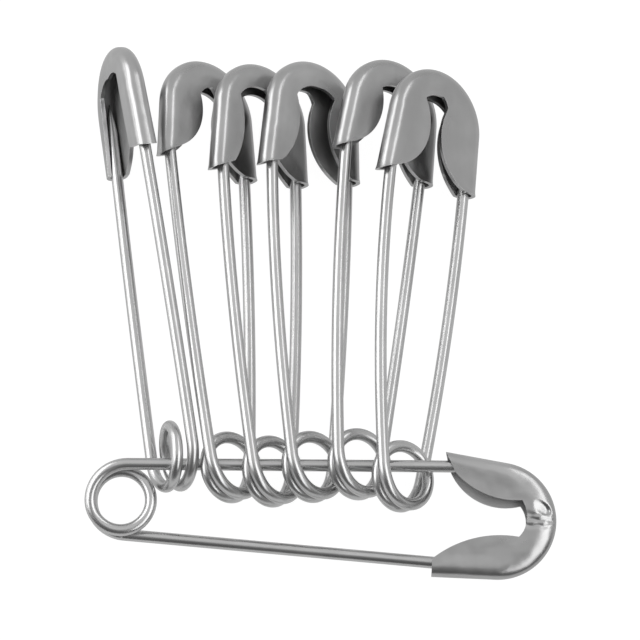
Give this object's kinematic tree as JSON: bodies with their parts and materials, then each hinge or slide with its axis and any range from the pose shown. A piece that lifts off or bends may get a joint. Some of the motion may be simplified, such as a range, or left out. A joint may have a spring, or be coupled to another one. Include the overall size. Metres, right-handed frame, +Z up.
{
  "type": "safety pins strung on a safety pin",
  "caption": "Bunch of steel safety pins threaded by their spring coils on the arm of a closed carrier pin, each a bent wire with a folded sheet head.",
  "frame": {"origin": "centre of the bounding box's base, on the surface the bunch lies on", "axes": "+X along the carrier pin's back arm towards its head, +Y the way the strung pins point, +Z up"},
  "size_m": [0.051, 0.0596, 0.0132],
  "materials": {
    "wire_plate": "bright nickel-plated steel wire, polished",
    "head_plate": "nickel-plated pressed steel sheet, satin bright with soft streaks"
  },
  "bodies": {
    "carrier": {"carrier_back_arm": "wire_plate", "carrier_coil": "wire_plate", "carrier_head": "head_plate"},
    "carrier_point_arm": {"carrier_point_arm": "wire_plate"},
    "pin_1": {"pin_1_back_arm": "wire_plate", "pin_1_coil": "wire_plate", "pin_1_head": "head_plate"},
    "pin_1_point_arm": {"pin_1_point_arm": "wire_plate"},
    "pin_2": {"pin_2_back_arm": "wire_plate", "pin_2_coil": "wire_plate", "pin_2_head": "head_plate"},
    "pin_2_point_arm": {"pin_2_point_arm": "wire_plate"},
    "pin_3": {"pin_3_back_arm": "wire_plate", "pin_3_coil": "wire_plate", "pin_3_head": "head_plate"},
    "pin_3_point_arm": {"pin_3_point_arm": "wire_plate"},
    "pin_4": {"pin_4_back_arm": "wire_plate", "pin_4_coil": "wire_plate", "pin_4_head": "head_plate"},
    "pin_4_point_arm": {"pin_4_point_arm": "wire_plate"},
    "pin_5": {"pin_5_back_arm": "wire_plate", "pin_5_coil": "wire_plate", "pin_5_head": "head_plate"},
    "pin_5_point_arm": {"pin_5_point_arm": "wire_plate"},
    "pin_6": {"pin_6_back_arm": "wire_plate", "pin_6_coil": "wire_plate", "pin_6_head": "head_plate"},
    "pin_6_point_arm": {"pin_6_point_arm": "wire_plate"}
  },
  "joints": [
    {"name": "carrier_open", "type": "hinge", "parent": "carrier", "child": "carrier_point_arm", "pos_m": [-0.02135, -0.02462, 0.00061], "axis": [-0.932, 0.3623, 0.0113], "range_deg": [0, 215], "deforming": ["carrier_coil"]},
    {"name": "pin_1_swing", "type": "hinge", "parent": "carrier", "child": "pin_1", "pos_m": [-0.02085, -0.01775, 0.00445], "axis": [1, 0, 0], "range_deg": [0, 160]},
    {"name": "pin_2_swing", "type": "hinge", "parent": "carrier", "child": "pin_2", "pos_m": [-0.02085, -0.01775, 0.00445], "axis": [1, 0, 0], "range_deg": [0, 160]},
    {"name": "pin_3_swing", "type": "hinge", "parent": "carrier", "child": "pin_3", "pos_m": [-0.02085, -0.01775, 0.00445], "axis": [1, 0, 0], "range_deg": [0, 160]},
    {"name": "pin_4_swing", "type": "hinge", "parent": "carrier", "child": "pin_4", "pos_m": [-0.02085, -0.01775, 0.00445], "axis": [1, 0, 0], "range_deg": [0, 160]},
    {"name": "pin_5_swing", "type": "hinge", "parent": "carrier", "child": "pin_5", "pos_m": [-0.02085, -0.01775, 0.00445], "axis": [1, 0, 0], "range_deg": [0, 160]},
    {"name": "pin_6_swing", "type": "hinge", "parent": "carrier", "child": "pin_6", "pos_m": [-0.02085, -0.01775, 0.00445], "axis": [1, 0, 0], "range_deg": [0, 160]},
    {"name": "pin_1_squeeze", "type": "hinge", "parent": "pin_1", "child": "pin_1_point_arm", "pos_m": [-0.01612, -0.01671, 0.00402], "axis": [0.9383, 0.1666, -0.3032], "range_deg": [0, 8], "stiffness_Nm_per_rad": 0.4, "deforming": ["pin_1_coil"]},
    {"name": "pin_2_squeeze", "type": "hinge", "parent": "pin_2", "child": "pin_2_point_arm", "pos_m": [-0.00967, -0.01785, 0.00417], "axis": [0.6491, 0.0338, 0.76], "range_deg": [0, 8], "stiffness_Nm_per_rad": 0.4, "deforming": ["pin_2_coil"]},
    {"name": "pin_3_squeeze", "type": "hinge", "parent": "pin_3", "child": "pin_3_point_arm", "pos_m": [-0.00515, -0.01831, 0.00423], "axis": [0.6499, 0.0099, 0.76], "range_deg": [0, 8], "stiffness_Nm_per_rad": 0.4, "deforming": ["pin_3_coil"]},
    {"name": "pin_4_squeeze", "type": "hinge", "parent": "pin_4", "child": "pin_4_point_arm", "pos_m": [-0.0008, -0.01782, 0.00448], "axis": [0.6103, -0.0046, 0.7921], "range_deg": [0, 8], "stiffness_Nm_per_rad": 0.4, "deforming": ["pin_4_coil"]},
    {"name": "pin_5_squeeze", "type": "hinge", "parent": "pin_5", "child": "pin_5_point_arm", "pos_m": [0.00422, -0.0175, 0.00449], "axis": [0.5864, -0.06, 0.8078], "range_deg": [0, 8], "stiffness_Nm_per_rad": 0.4, "deforming": ["pin_5_coil"]},
    {"name": "pin_6_squeeze", "type": "hinge", "parent": "pin_6", "child": "pin_6_point_arm", "pos_m": [0.00889, -0.01882, 0.00443], "axis": [0.6251, -0.0775, 0.7767], "range_deg": [0, 8], "stiffness_Nm_per_rad": 0.4, "deforming": ["pin_6_coil"]}
  ],
  "couplings": [
    {"joint": "pin_2_swing", "follows": "pin_1_swing", "ratio": 1},
    {"joint": "pin_3_swing", "follows": "pin_1_swing", "ratio": 1},
    {"joint": "pin_4_swing", "follows": "pin_1_swing", "ratio": 1},
    {"joint": "pin_5_swing", "follows": "pin_1_swing", "ratio": 1},
    {"joint": "pin_6_swing", "follows": "pin_1_swing", "ratio": 1}
  ]
}
